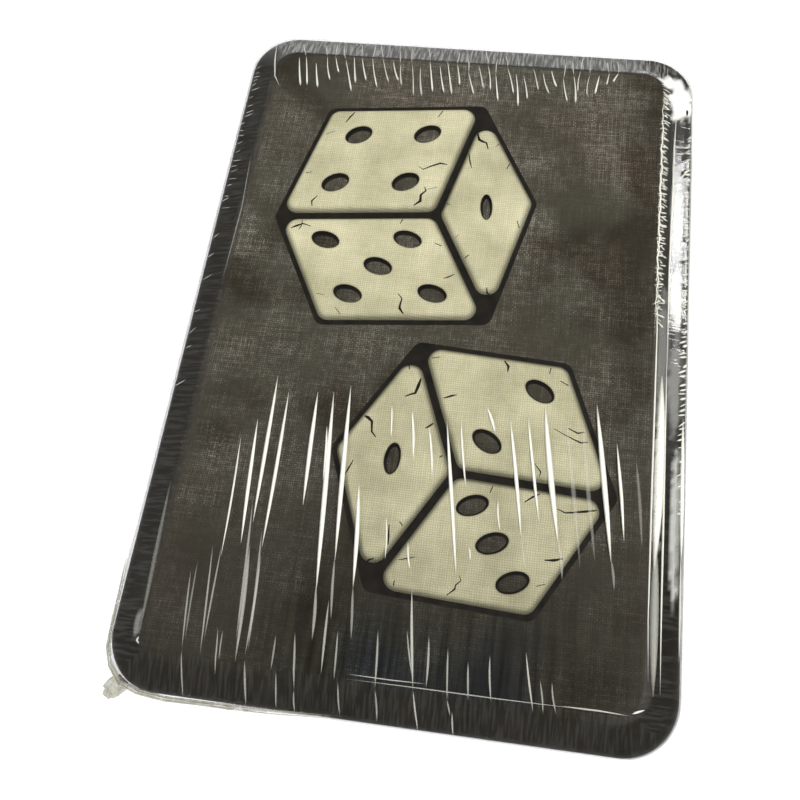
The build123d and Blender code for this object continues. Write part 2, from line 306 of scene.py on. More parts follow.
def bone_print():
    n = Finish("bone_print")
    height, tone = weave(n)
    tone = n.math("MULTIPLY_ADD", tone, 0.5, 0.5)
    thread = n.math("MULTIPLY_ADD", n.times(height, tone), 0.62, 0.72)
    mottle = n.noise(90.0, 5.0, roughness=0.65)
    mottle = n.ramp(mottle, (0.3, (0.43, 0.405, 0.255, 1)), (0.7, (0.68, 0.64, 0.43, 1)))
    # the print darkens towards the relief's edges and down the pips: partly printed shading, partly painted
    # shade of the relief
    shade = n.ramp(n.attribute("shade"), (0.0, 0.30), (0.55, 0.82), (1.0, 1.0))
    along = n.add("SeparateXYZ", {0: n.place()}).outputs[1]
    # painted shade: the bone print darkens towards the near end, where the light falls off
    painted_falloff = n.ramp(n.math("MULTIPLY_ADD", along, 8.0, 0.5), (0.1, 0.76), (0.6, 1.0))
    shade = n.tint(shade, painted_falloff)
    colour = n.tint(n.tint(mottle, thread), shade)
    return n.done(n.principled(Base_Color=colour, Roughness=0.5, Specular_IOR_Level=0.3))


def bare_tin():
    n = Finish("tin_bare")
    rolled = n.noise(1.0, 3.0, n.place((9000, 120, 300)))
    tone = n.ramp(rolled, (0.3, (0.52, 0.51, 0.49, 1)), (0.7, (0.66, 0.65, 0.62, 1)))
    normal = n.bump(rolled, 0.004 * MM, 0.5)
    return n.done(n.principled(Base_Color=tone, Metallic=1.0, Roughness=0.32, Normal=normal))


def tray_coat():
    n = Finish("tray_coat")
    tone = n.ramp(n.noise(80.0, 4.0), (0.3, (0.012, 0.0115, 0.010, 1)), (0.7, (0.020, 0.019, 0.016, 1)))
    shader = n.principled(Base_Color=tone, Roughness=0.35, Normal=n.bump(n.noise(1200.0), 0.01 * MM, 0.4))
    return n.done(shader)


def foam(name, dark, light):
    n = Finish(name)
    cells = n.add("TexVoronoi", {"Vector": n.place(), "Scale": 2600.0}).outputs["Distance"]
    tone = n.ramp(n.math("ADD", n.times(cells, 0.6), n.times(n.noise(900.0), 0.5)),
                  (0.2, dark), (0.8, light))
    shader = n.principled(Base_Color=tone, Roughness=0.95, Normal=n.bump(cells, 0.12 * MM, 0.8))
    return n.done(shader)


def dice_resin():
    n = Finish("resin")
    swirl = {"Vector": n.place(), "Scale": 90.0, "Detail": 4.0, "Distortion": 2.5}
    swirl = n.add("TexNoise", swirl).outputs[0]
    tone = n.ramp(swirl, (0.35, (0.36, 0.33, 0.20, 1)), (0.65, (0.60, 0.56, 0.40, 1)))
    shader = n.principled(Base_Color=tone, Roughness=0.22, Coat_Weight=0.5, Coat_Roughness=0.08)
    return n.done(shader)


def clear_film():
    """Thin gloss over whatever lies under it, broken by fine creases that run square to the nearest edge."""
    n = Finish("film_clear")
    side = n.attribute("side")
    square = n.mix(side, *[n.noise(1.0, 3.0, n.place(s)) for s in ((2100, 200, 0), (200, 1700, 0))])
    loose = n.noise(140.0, 2.0)
    creased = n.times(square, n.attribute("crease"))
    height = n.math("ADD", creased, n.times(loose, 0.5))
    normal = n.bump(height, 0.05 * MM, 0.8)
    gloss = n.add("BsdfGlossy", {"Color": grey(1.0), "Roughness": 0.04, "Normal": normal}).outputs[0]
    clear = n.add("BsdfTransparent", {"Color": grey(0.99)}).outputs[0]
    slant = n.add("LayerWeight", {"Blend": 0.5, "Normal": normal}).outputs["Facing"]
    share = n.math("MULTIPLY_ADD", n.math("POWER", slant, 5.0), 0.96, 0.035)
    share = n.math("MINIMUM", share, 0.5)
    film = n.add("MixShader", {0: share, 1: clear, 2: gloss}).outputs[0]
    # painted light on the film: white streaks of painted reflection, mostly along the far side and partly the
    # film's real whitening, and patches of painted highlight
    white_highlight = n.principled(Base_Color=(0.9, 0.9, 0.84, 1), Roughness=0.3)
    streaks = n.times(n.attribute("haze_and_reflection"), n.ramp(square, (0.46, 0.0), (0.60, 1.0)))
    haze_and_reflection = n.math("MINIMUM", n.math("ADD", streaks, n.attribute("white_highlight")), 0.97)
    return n.done(n.add("MixShader", {0: haze_and_reflection, 1: film, 2: white_highlight}).outputs[0])


def film_fold():
    """Where the film is drawn together it catches the light: a painted white highlight, partly the real
    whitening of the crease.
    """
    n = Finish("film_fold")
    white_highlight = n.principled(Base_Color=(0.88, 0.87, 0.76, 1), Roughness=0.3)
    clear = n.add("BsdfTransparent", {"Color": grey(1.0)}).outputs[0]
    return n.done(n.add("MixShader", {0: n.attribute("strength"), 1: clear, 2: white_highlight}).outputs[0])


def film_crumple():
    """Film gathered into a hem or a twist: milky, a little yellow, and only half see-through."""
    n = Finish("film_crumple")
    milky = n.principled(Base_Color=(0.42, 0.41, 0.33, 1), Roughness=0.25)
    clear = n.add("BsdfTransparent", {"Color": grey(0.97)}).outputs[0]
    share = n.ramp(n.noise(700.0, 3.0), (0.35, 0.35), (0.65, 0.9))
    return n.done(n.add("MixShader", {0: share, 1: clear, 2: milky}).outputs[0])


def finish_table():
    return {
        "ground": linen_ground(),
        "margin": dull_coat("margin_coat", 70.0, 5.0, 0.7,
                            (0.012, 0.011, 0.008, 1), (0.024, 0.021, 0.016, 1), 0.2),
        "bone": bone_print(),
        "ink": dull_coat("black_ink", 400.0, 3.0, 0.5,
                         (0.010, 0.009, 0.007, 1), (0.020, 0.017, 0.013, 1), 0.25),
        "tin": bare_tin(), "coat": tray_coat(),
        "film": clear_film(), "fold": film_fold(), "crumple": film_crumple(),
        "black_foam": foam("foam_black", (0.008, 0.008, 0.009, 1), (0.045, 0.045, 0.048, 1)),
        "grey_foam": foam("foam_grey", (0.06, 0.06, 0.062, 1), (0.17, 0.17, 0.172, 1)),
        "resin": dice_resin(),
    }


# Outlines and skins

def rounded_rectangle(inset, corner, z, corner_steps=10, x_steps=1, y_steps=1):
    """The lid's outline drawn in by inset, anticlockwise from the right side of the far right corner."""
    half = Vector((lid_high.x - inset, lid_high.y - inset))
    centres = [Vector((sx * (half.x - corner), sy * (half.y - corner), z))
               for sx, sy in ((1, 1), (-1, 1), (-1, -1), (1, -1))]
    points = []
    for quarter, centre in enumerate(centres):
        for k in range(corner_steps + 1):
            turn = math.pi / 2 * (quarter + k / corner_steps)
            points.append(centre + corner * Vector((math.cos(turn), math.sin(turn), 0)))
        steps = y_steps if quarter % 2 else x_steps
        turn = math.pi / 2 * (quarter + 1)
        start = points[-1]
        end = centres[(quarter + 1) % 4] + corner * Vector((math.cos(turn), math.sin(turn), 0))
        points += [start.lerp(end, k / steps) for k in range(1, steps)]
    return points


def plan_corner(inset):
    """The plan radius of the lid's outline at that inset: wide at the skirt, tighter at the panel."""
    if inset <= LID_EDGE_ROUND:
        return LID_CORNER - inset
    if inset >= MARGIN:
        return PANEL_CORNER + MARGIN - inset
    share = (inset - LID_EDGE_ROUND) / (MARGIN - LID_EDGE_ROUND)
    return (LID_CORNER - LID_EDGE_ROUND) * (1 - share) + PANEL_CORNER * share


def bend(inset, z, radius, first, last, steps=5):
    """An arc of a profile about a centre, as pairs of inset and height; 0 points inwards and 90 up."""
    turns = [math.radians(first + (last - first) * k / steps) for k in range(steps + 1)]
    return [(inset + radius * math.cos(t), z + radius * math.sin(t)) for t in turns]


def loop_of(bm, points):
    verts = [bm.verts.new(p) for p in points]
    return [bm.edges.new(pair) for pair in zip(verts, verts[1:] + verts[:1])]


def skin(bm, rings, slots=None):
    """Extrudes a first ring of points from each ring to the next and returns the rings' edges."""
    loops = [loop_of(bm, rings[0])]
    verts = [edge.verts[0] for edge in loops[0]]
    for k, ring in enumerate(rings[1:]):
        made = bmesh.ops.extrude_edge_only(bm, edges=loops[-1])["geom"]
        fresh = {item for item in made if isinstance(item, bmesh.types.BMVert)}
        verts = [next(e.other_vert(v) for e in v.link_edges if e.other_vert(v) in fresh) for v in verts]
        for vert, point in zip(verts, ring):
            vert.co = point
        for item in made:
            if isinstance(item, bmesh.types.BMFace):
                item.material_index = slots[k] if slots else 0
        loops.append([bm.edges.get(pair) for pair in zip(verts, verts[1:] + verts[:1])])
    return loops


def verts_of(loop):
    return list({v for edge in loop for v in edge.verts})


def fill(bm, loops, slot, normal=(0, 0, 1)):
    """Fills the flat space between loops of edges."""
    edges = [edge for loop in loops for edge in loop]
    made = bmesh.ops.triangle_fill(bm, use_beauty=True, use_dissolve=False, edges=edges, normal=normal)
    for face in made["geom"]:
        if isinstance(face, bmesh.types.BMFace):
            face.material_index = slot


def closed_skin(bm, rings, slots=None, last=0):
    """A skin with its first ring filled from below and its last from above."""
    loops = skin(bm, rings, slots)
    fill(bm, [loops[0]], 0, (0, 0, -1))
    fill(bm, [loops[-1]], last)


def piece(name, bm, body, finishes, smooth=True, outward=True):
    """Turns the bmesh into a piece that rides on a body."""
    if outward:
        bmesh.ops.remove_doubles(bm, verts=bm.verts, dist=1e-7)
        bmesh.ops.recalc_face_normals(bm, faces=bm.faces)
    for face in bm.faces:
        face.smooth = smooth
    mesh = bpy.data.meshes.new(name)
    bm.to_mesh(mesh)
    bm.free()
    made = add_object(name, mesh)
    for finish in finishes:
        mesh.materials.append(FINISH[finish])
    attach(made, body)
    return made


def sharp_over(mesh_object, degrees):
    """Marks edges sharper than that as sharp, so that flats stay flat beside bends."""
    mesh_object.data.set_sharp_from_angle(angle=math.radians(degrees))


# Lid

def flat_vector(vector):
    return Vector((vector.x, vector.y, 0))


def to_the_right(vector):
    """The vector in plan, turned clockwise by a quarter."""
    return Vector((vector.y, -vector.x, 0))


def cube_faces(middle, edge, yaw, tilt, roll, pips):
    """The upper faces of a tumbled die in plan: corner, two edges, the face's normal and its pips."""
    turn = Matrix.Rotation(math.radians(roll), 3, "Z") @ Matrix.Rotation(math.radians(tilt), 3, "X")
    turn = turn @ Matrix.Rotation(math.radians(yaw), 3, "Z")
    axes = [turn @ Vector(a) for a in ((1, 0, 0), (0, 1, 0), (0, 0, 1))]
    axes = [a if a.z > 0 else -a for a in axes]
    faces = []
    for (first, second, normal), count in zip(((0, 1, 2), (1, 2, 0), (2, 0, 1)), pips):
        corner = Vector((*middle, 0)) + (axes[normal] - axes[first] - axes[second]) * (edge / 2)
        faces.append((flat_vector(corner) * MM, flat_vector(axes[first]) * edge * MM,
                      flat_vector(axes[second]) * edge * MM, axes[normal], count))
    return faces


def anticlockwise(corners):
    area = sum(a.cross(b).z for a, b in zip(corners, corners[1:] + corners[:1]))
    return corners if area > 0 else corners[::-1]


def rounded_polygon(corners, inset, radius, z, steps=7):
    """The polygon drawn in by inset, its corners rounded."""
    corners = anticlockwise(corners)
    count = len(corners)
    points = []
    for k in range(count):
        before, here, after = corners[k - 1], corners[k], corners[(k + 1) % count]
        into = (here - before).normalized()
        out = (after - here).normalized()
        half = into.angle(out) / 2
        inner = (out - into).normalized()
        apex = here + inner * (inset / math.cos(half))
        centre = apex + inner * (radius / math.cos(half))
        start = to_the_right(into)
        for s in range(steps + 1):
            arm = start.copy()
            arm.rotate(Matrix.Rotation(2 * half * s / steps, 3, "Z"))
            points.append(centre + arm * radius + Vector((0, 0, z)))
    return points


def die_silhouette(faces):
    """The six outer corners of a die's three faces, in order round its middle."""
    corners = []
    for corner, along, across, _, _ in faces:
        corners += [corner, corner + along, corner + across, corner + along + across]
    distinct = []
    for c in corners:
        if all((c - d).length > 0.01 * MM for d in distinct):
            distinct.append(c)
    middle = sum(distinct, Vector()) / len(distinct)
    nearest = min(distinct, key=lambda c: (c - middle).length)
    outer = [c for c in distinct if c is not nearest]
    return sorted(outer, key=lambda c: math.atan2((c - middle).y, (c - middle).x))


def pip_ring(face, place, grow, z, steps=36):
    corner, along, across, normal, _ = face
    middle = corner + along * place[0] + across * place[1]
    lean = math.atan2(normal.y, normal.x) + math.pi / 2
    long_radius, short_radius = PIP_RADIUS + grow, PIP_RADIUS * normal.z + grow
    points = []
    for k in range(steps):
        turn = math.tau * k / steps
        x, y = long_radius * math.cos(turn), short_radius * math.sin(turn)
        points.append(middle + Vector((x * math.cos(lean) - y * math.sin(lean),
                                       x * math.sin(lean) + y * math.cos(lean), z)))
    return points


# Profiles as inset from the outline and height above the panel in mm, and how light the print is there: darker
# at the pads' feet and down the pips, partly printed shading and partly painted shade of the relief
PAD_PROFILE = [(-0.35, 0.0, 0.0), (-0.12, 0.04, 0.0), (0.08, 0.16, 0.0), (0.28, 0.42, 0.1), (0.48, 0.70, 0.3),
               (0.68, 0.94, 0.5), (0.88, 1.10, 0.7), (1.12, 1.18, 0.85), (1.4, 1.2, 1.0)]
PIP_PROFILE = [(0.45, 1.2, 1.0), (0.3, 1.2, 0.85), (0.18, 1.17, 0.7), (0.05, 1.05, 0.5), (-0.05, 0.75, 0.25),
               (-0.12, 0.35, 0.0), (-0.25, 0.08, 0.0), (-0.45, 0.0, 0.0)]
CROWN_START = 0.065          # share of a face's size between its side and its flat crown
OUTLINE_GROW = 0.25 * MM     # how far the ink reaches past a die's faces
OUTLINE_CORNER = 2.2 * MM
PIP_BERTH = 0.8 * MM         # least space between a crack and a pip
INK_RISE = 0.02 * MM
LID_SLOTS = ("ground", "margin", "bone", "ink", "tin")
GROUND, MARGIN_SLOT, BONE, INK, TIN = range(5)


def make_lid():
    bm = bmesh.new()
    shade = bm.verts.layers.float.new("shade")
    lean = math.degrees(math.atan2(STEP_RISE, STEP_RUN))
    foot_cut = STEP_FOOT_ROUND * math.tan(math.radians(lean / 2))
    ridge_cut = STEP_RIDGE_ROUND * math.tan(math.radians(lean / 2))
    under = PANEL_TOP - SHEET
    profile = [(RIDGE_INSET + ridge_cut, under), (RIDGE_INSET + 0.3 * SHEET, under),
               (MARGIN + 0.3 * SHEET, MARGIN_TOP - SHEET)]
    profile += bend(LID_EDGE_ROUND, MARGIN_TOP - LID_EDGE_ROUND, LID_EDGE_ROUND - SHEET, 90, 180)
    profile += [(SHEET, SKIRT_FOOT + HEM_HEIGHT + 0.05 * MM), (1.4 * SHEET, SKIRT_FOOT + HEM_HEIGHT)]
    profile += [(2 * SHEET, SKIRT_FOOT + HEM_HEIGHT - 0.15 * MM)]
    hem = bend(SHEET, SKIRT_FOOT + SHEET, SHEET, 0, -180, 8)
    profile += hem
    inner_rings = len(profile)
    profile += bend(LID_EDGE_ROUND, MARGIN_TOP - LID_EDGE_ROUND, LID_EDGE_ROUND, 180, 90, 8)
    foot = bend(MARGIN - foot_cut, MARGIN_TOP + STEP_FOOT_ROUND, STEP_FOOT_ROUND, -90, lean - 90)
    ridge = bend(RIDGE_INSET + ridge_cut, PANEL_TOP - STEP_RIDGE_ROUND, STEP_RIDGE_ROUND, 90 + lean, 90)
    profile += foot + ridge
    rings = [rounded_rectangle(i, plan_corner(i), z, 14) for i, z in profile]
    slots = [TIN if k < inner_rings - len(hem) + 1 else MARGIN_SLOT for k in range(len(rings) - 1)]
    step_bands = len(foot) + len(ridge) - 1
    slots[-step_bands:] = [GROUND] * step_bands
    loops = skin(bm, rings, slots)
    fill(bm, [loops[0]], TIN, (0, 0, -1))
    holes = []
    for die in PATTERN_DICE:
        faces = cube_faces(*die)
        silhouette = die_silhouette(faces)
        outline = loop_of(bm, rounded_polygon(silhouette, -OUTLINE_GROW, OUTLINE_CORNER, PANEL_TOP))
        holes.append(outline)
        feet = [make_pad(bm, face, shade) for face in faces]
        fill(bm, [outline, *feet], INK)
    fill(bm, [loops[-1], *holes], GROUND)
    lid = piece("lid_pressing", bm, "lid", LID_SLOTS)
    sharp_over(lid, 60)
    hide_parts("lid_shell")


def make_pad(bm, face, shade):
    """One embossed face with its sunk pips; returns the edges at its foot."""
    corner, along, across, _, count = face
    corners = [corner, corner + along, corner + along + across, corner + across]
    rings = [rounded_polygon(corners, PAD_GAP / 2 + inset * MM, PAD_CORNER - inset * MM, PANEL_TOP + z * MM)
             for inset, z, _ in PAD_PROFILE]
    loops = skin(bm, rings, [INK] * 2 + [BONE] * (len(rings) - 3))
    set_shade(loops, PAD_PROFILE, shade)
    edges = [loops[-1]]
    for place in PIP_PLACES[count]:
        rings = [pip_ring(face, place, grow * MM, PANEL_TOP + z * MM) for grow, z, _ in PIP_PROFILE]
        pip = skin(bm, rings, [BONE] * 3 + [INK] * (len(rings) - 4))
        set_shade(pip, PIP_PROFILE, shade)
        fill(bm, [pip[-1]], GROUND)
        edges.append(pip[0])
    fill(bm, edges, BONE)
    return loops[0]


def set_shade(loops, profile, layer):
    for loop, (_, _, value) in zip(loops, profile):
        for vert in verts_of(loop):
            vert[layer] = value


def on_crown(face, side, depth, place):
    """The point of a face's crown at shares of its size in from one of its sides and along that side."""
    corner, along, across, _, _ = face
    u, v = ((depth, place), (1 - depth, place), (place, depth), (place, 1 - depth))[side]
    return corner + along * u + across * v + Vector((0, 0, PANEL_TOP + EMBOSS_RISE))


def crack_points(face, side, place, draw):
    """A jagged way in from a side of a face that ends before it meets a pip."""
    pips = [on_crown(face, 0, *pip) for pip in PIP_PLACES[face[4]]]
    depth = CROWN_START
    points = []
    for _ in range(draw.choice((2, 3, 5))):
        point = on_crown(face, side, depth, place)
        if any((point - pip).length < PIP_RADIUS + PIP_BERTH for pip in pips):
            break
        points.append(point)
        depth += draw.uniform(0.03, 0.06)
        place += draw.choice((-1, 1)) * draw.uniform(0.008, 0.03)
    return points[::-1]


def make_ink_strokes():
    """Printed cracks and spurs that run in from the sides of the bone-coloured faces."""
    bm = bmesh.new()
    layer = bm.verts.layers.float.new("strength")
    draw = random.Random(11)
    for die in PATTERN_DICE:
        for face in cube_faces(*die):
            for side in range(4):
                for place in (draw.uniform(0.12, 0.4), draw.uniform(0.4, 0.6), draw.uniform(0.6, 0.88)):
                    points = crack_points(face, side, place, draw)
                    if len(points) > 1 and draw.random() < 0.75:
                        spindle(bm, layer, points, draw.uniform(0.35, 0.8) * MM, INK_RISE, 1.0, drop=True)
    return piece("lid_ink_strokes", bm, "lid", ("ink",), outward=False)


def make_lid_pad():
    bm = bmesh.new()
    profile = [(PAD_INSET + 0.4 * MM, pad_low.z), (PAD_INSET, pad_low.z + 0.4 * MM),
               (PAD_INSET, pad_high.z - 0.3 * MM), (PAD_INSET + 0.3 * MM, pad_high.z)]
    closed_skin(bm, [rounded_rectangle(i, PANEL_CORNER - STEP_RUN, z) for i, z in profile])
    pad = piece("lid_foam_pad", bm, "lid", ("grey_foam",), smooth=False)
    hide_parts("lid_pad")


# Tray

def make_tray():
    bm = bmesh.new()
    bottom = tray_low.z
    rim_z = tray_high.z - RIM_RADIUS
    floor_in = TRAY_INSET + FOOT_RING
    outer = [(floor_in + FLOOR_RUN, bottom + FLOOR_RISE), (floor_in, bottom)]
    edge_in, edge_up = TRAY_INSET + TRAY_EDGE_ROUND, bottom + TRAY_EDGE_ROUND
    outer += bend(edge_in, edge_up, TRAY_EDGE_ROUND, -90, -180, 6)
    outer += [(TRAY_INSET, rim_z)]
    outer += bend(TRAY_INSET + RIM_RADIUS, rim_z, RIM_RADIUS, 180, -100, 12)
    inside = TRAY_INSET + SHEET
    inner = [(inside, rim_z - 0.75 * RIM_RADIUS)]
    inner += bend(edge_in + SHEET, edge_up + SHEET, TRAY_EDGE_ROUND, -180, -90, 6)
    inner += [(floor_in, bottom + SHEET), (floor_in + FLOOR_RUN, bottom + SHEET + FLOOR_RISE)]
    rings = [rounded_rectangle(i, max(LID_CORNER - i, 2 * MM), z, 12) for i, z in outer + inner]
    closed_skin(bm, rings, [0] * len(outer) + [1] * (len(inner) - 1), last=1)
    tray = piece("tray_drawn", bm, "base", ("coat", "tin"))
    sharp_over(tray, 50)
    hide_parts("tray")


WELL_COLUMN = 28.486 * MM
WELL_ROW = 23.499 * MM
WELL_STEPS = 48
WELL_MIDDLES = {
    "die_d20": Vector((0, 0, 0)),
    "die_d12": Vector((-WELL_COLUMN, WELL_ROW, 0)),
    "die_d10": Vector((WELL_COLUMN, WELL_ROW, 0)),
    "die_d10_tens": Vector((-WELL_COLUMN, -WELL_ROW, 0)),
    "die_d6": Vector((WELL_COLUMN, -WELL_ROW, 0)),
    "die_d8": Vector((0, 2 * WELL_ROW, 0)),
    "die_d4": Vector((0, -2 * WELL_ROW, 0)),
}


def well(node):
    """The middle and radius of the well round a die."""
    middle = WELL_MIDDLES[node]
    reach = max((flat_vector(v.co) - middle).length for v in frame["nodes"][node].data.vertices)
    return middle, reach + WELL_CLEARANCE


def make_foam():
    bm = bmesh.new()
    sheet_round = 0.3 * MM
    profile = [(FOAM_INSET, foam_low.z), (FOAM_INSET, foam_high.z - sheet_round),
               (FOAM_INSET + sheet_round, foam_high.z)]
    outside = skin(bm, [rounded_rectangle(i, LID_CORNER - FOAM_INSET, z) for i, z in profile])
    tops, feet = [outside[-1]], [outside[0]]
    for node in WELL_MIDDLES:
        middle, radius = well(node)
        rings = []
        for reach, z in ((radius + sheet_round, foam_high.z), (radius, foam_high.z - sheet_round),
                         (radius, foam_low.z)):
            rings.append([middle + Vector((reach * math.cos(t), reach * math.sin(t), z))
                          for t in (math.tau * k / WELL_STEPS for k in range(WELL_STEPS))])
        walls = skin(bm, rings)
        tops.append(walls[0])
        feet.append(walls[-1])
    fill(bm, tops, 0)
    fill(bm, feet, 0, (0, 0, -1))
    insert = piece("foam_with_wells", bm, "base", ("black_foam",), smooth=False)
    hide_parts("foam_insert")
    bm = bmesh.new()
    profile = [(FOAM_INSET, floor_low.z), (FOAM_INSET, floor_high.z)]
    closed_skin(bm, [rounded_rectangle(i, LID_CORNER - FOAM_INSET, z) for i, z in profile])
    under = piece("foam_under_dice", bm, "base", ("black_foam",), smooth=False)
    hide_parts("foam_floor")


# Dice

DIE_DIGITS = {
    "die_d20": ([str(k) for k in range(1, 21)], 4.4 * MM),
    "die_d12": ([str(k) for k in range(1, 13)], 5.2 * MM),
    "die_d10": ([str(k) for k in range(10)], 5.6 * MM),
    "die_d10_tens": ([f"{k}0" for k in range(10)], 4.4 * MM),
    "die_d8": ([str(k) for k in range(1, 9)], 6.4 * MM),
    "die_d6": ([str(k) for k in range(1, 7)], 9.0 * MM),
    "die_d4": (["123", "142", "134", "243"], 4.6 * MM),
}
DIGIT_DEPTH = 0.03 * MM
D4_DIGIT_OUT = 0.95          # from the middles of the four-sided die's flats to its digits, in digit sizes


def die_flats(node):
    """Centre, normal and a corner direction of each flat of a die, opposite flats one after the other."""
    mesh = frame["nodes"][node].data
    found = []
    for polygon in mesh.polygons:
        group = next((g for g in found if g["normal"].dot(polygon.normal) > 0.9999), None)
        if group is None:
            group = {"normal": polygon.normal.copy(), "area": 0.0, "sum": Vector(), "points": []}
            found.append(group)
        group["area"] += polygon.area
        group["sum"] += polygon.center * polygon.area
        group["points"] += [mesh.vertices[v].co.copy() for v in polygon.vertices]
    flats = sorted(found, key=lambda g: -g["area"])[:4 if node == "die_d4" else len(DIE_DIGITS[node][0])]
    for g in flats:
        g["middle"] = g["sum"] / g["area"]
        g["far"] = max(g["points"], key=lambda p: round((p - g["middle"]).length, 6)) - g["middle"]
    flats.sort(key=lambda g: (round(g["normal"].z, 3), round(g["normal"].x, 3), round(g["normal"].y, 3)))
    if node == "die_d4":
        return flats
    ordered = []
    while flats:
        one = flats.pop()
        other = min(flats, key=lambda g: g["normal"].dot(one["normal"]))
        flats.remove(other)
        ordered += [one, other]
    return ordered


def digit_mesh(text, size):
    curve = bpy.data.curves.new("digit", "FONT")
    curve.body = text + "." if text in ("6", "9") else text
    curve.size = size
    curve.align_x, curve.align_y = "CENTER", "CENTER"
    curve.extrude = DIGIT_DEPTH
    curve.resolution_u = 3
    shown = add_object("digit", curve)
    bpy.context.view_layer.update()
    mesh = bpy.data.meshes.new_from_object(shown.evaluated_get(bpy.context.evaluated_depsgraph_get()))
    bpy.data.objects.remove(shown)
    return mesh


def facing(normal, up):
    """A turn that lays a flat shape on a face with that normal and its top towards up."""
    up = (up - normal * up.dot(normal)).normalized()
    side = up.cross(normal)
    return Matrix((side, up, normal)).transposed()


def make_dice():
    for node, (digits, size) in DIE_DIGITS.items():
        frame["nodes"][node].data.materials.clear()
        frame["nodes"][node].data.materials.append(FINISH["resin"])
        flats = die_flats(node)
        count = len(flats)
        bm = bmesh.new()
        for k, flat in enumerate(flats):
            if node == "die_d4":
                marks = [(digit, math.tau * s / 3) for s, digit in enumerate(digits[k])]
            else:
                pair, other = divmod(k, 2)
                marks = [(digits[count - 1 - pair] if other else digits[pair], None)]
            for text, turn in marks:
                mesh = digit_mesh(text, size)
                up = flat["far"] if turn is None else Matrix.Rotation(turn, 3, flat["normal"]) @ flat["far"]
                middle = flat["middle"].copy()
                if turn is not None:
                    middle += up.normalized() * size * D4_DIGIT_OUT
                place = facing(flat["normal"], up).to_4x4()
                place.translation = middle
                mesh.transform(place)
                bm.from_mesh(mesh)
                bpy.data.meshes.remove(mesh)
        body = frame["nodes"][node]["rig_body"]
        name = node.replace("die_", "") + "_digits"
        piece(name, bm, body, ("ink",), smooth=False, outward=False)


# Film

def film_shoulder():
    """The height at which film stretched from the panel's ridge meets the skirt."""
    rise = PANEL_TOP - (MARGIN_TOP - LID_EDGE_ROUND)
    run = RIDGE_INSET - LID_EDGE_ROUND
    lean = math.atan2(rise, run) - math.asin(LID_EDGE_ROUND / math.hypot(rise, run))
    return PANEL_TOP - (RIDGE_INSET + REACH) * math.tan(lean) + REACH / math.cos(lean)


def film_profile():
    """The film's wall, its stretch from the skirt up to the panel's ridge, and rings on to the middle."""
    shoulder = film_shoulder()
    ridge = (RIDGE_INSET - REACH, PANEL_TOP + REACH)
    points = [(-REACH, SKIRT_FOOT + (shoulder - 0.5 * MM - SKIRT_FOOT) * k / 8) for k in range(9)]
    points += [(-REACH + 0.08 * MM, shoulder - 0.15 * MM), (-REACH + 0.35 * MM, shoulder + FILM_BEND)]
    last = points[-1]
    points += [(last[0] + (ridge[0] - last[0]) * k / 12, last[1] + (ridge[1] - last[1]) * k / 12)
               for k in range(1, 12)]
    points += [(ridge[0], ridge[1] - 0.02 * MM)]
    points += [(ridge[0] + 0.4 * MM + FILM_RING_STEP * k, ridge[1]) for k in range(FILM_RINGS)]
    return points


SILHOUETTES = [anticlockwise(die_silhouette(cube_faces(*die))) for die in PATTERN_DICE]
SAG = 0.9 * MM               # how far the film sinks towards the margin on the right side
SAG_START = 36 * MM          # where across the tin that begins
SAG_RUN = 5 * MM
FILM_WALL = 0.06 * MM
FILM_RINGS = 28              # rings of the film between the panel's ridge and its middle
FILM_RING_STEP = 1.52 * MM
FILM_BEND = 0.08 * MM        # rise of the film's bend over the lid's edge
FILM_CORNER = 3.9 * MM       # plan radius of the film's rings over the panel
FILM_SLACK = 1.4             # above 1 the film hangs lower between the ridge and the embossed dice
PUCKER_WIDTH = 0.9 * MM
PUCKER_LENGTH = 3.0 * MM
EDGE_PUCKER = 0.16 * MM      # how far the small puckers rise at the edge and at the panel's ridge
RIDGE_PUCKER = 0.08 * MM
LOOSE_FROM = 44 * MM         # where across the tin the film is loose enough for all of that
CALM = 0.3                   # share of it elsewhere
BULGE = 0.6 * MM             # how far the film stands off at the front left corner, and how far round it
BULGE_REACH = 17 * MM


def distance_outside(polygon, point):
    """Distance from a point to a convex outline, 0 inside it."""
    worst = 0.0
    for a, b in zip(polygon, polygon[1:] + polygon[:1]):
        along = (b - a).normalized()
        worst = max(worst, (point.x - a.x) * along.y - (point.y - a.y) * along.x)
    return worst


def film_inset(point):
    """How far inside the lid's outline a point lies."""
    q = Vector((abs(point.x) - lid_high.x + LID_CORNER, abs(point.y) - lid_high.y + LID_CORNER))
    outside = Vector((max(q.x, 0), max(q.y, 0))).length
    return LID_CORNER - outside - min(max(q.x, q.y), 0)


def by_long_side(point):
    """True where the nearest edge is one of the long ones, left or right."""
    return abs(point.x) - lid_high.x > abs(point.y) - lid_high.y


def film_height(point, inset=None):
    """The height of the film over a point: up from the skirt to the ridge, then on to the embossed dice."""
    inset = film_inset(point) if inset is None else inset
    ridge = RIDGE_INSET - REACH
    if inset < ridge:
        shoulder = film_shoulder() + FILM_BEND
        share = max(inset - 0.1 * MM, 0) / (ridge - 0.1 * MM)
        right = min(max((point.x - SAG_START) / SAG_RUN, 0), 1)
        sag = SAG * right * min(share / 0.7, (1 - share) / 0.3)
        return shoulder + (PANEL_TOP + REACH - shoulder) * share - sag
    rise = 0.0
    for silhouette in SILHOUETTES:
        away = distance_outside(silhouette, point)
        rise = max(rise, ((inset - ridge) / (inset - ridge + away + 1e-9)) ** FILM_SLACK)
    return PANEL_TOP + REACH + (EMBOSS_RISE - 0.02 * MM) * rise


def crinkle(point, amount):
    """Small puckers of the film, along the edge that is nearest."""
    along, out = (point.y, point.x) if by_long_side(point) else (point.x, point.y)
    return amount * noise.noise(Vector((along / PUCKER_WIDTH, out / PUCKER_LENGTH, 1.7)))


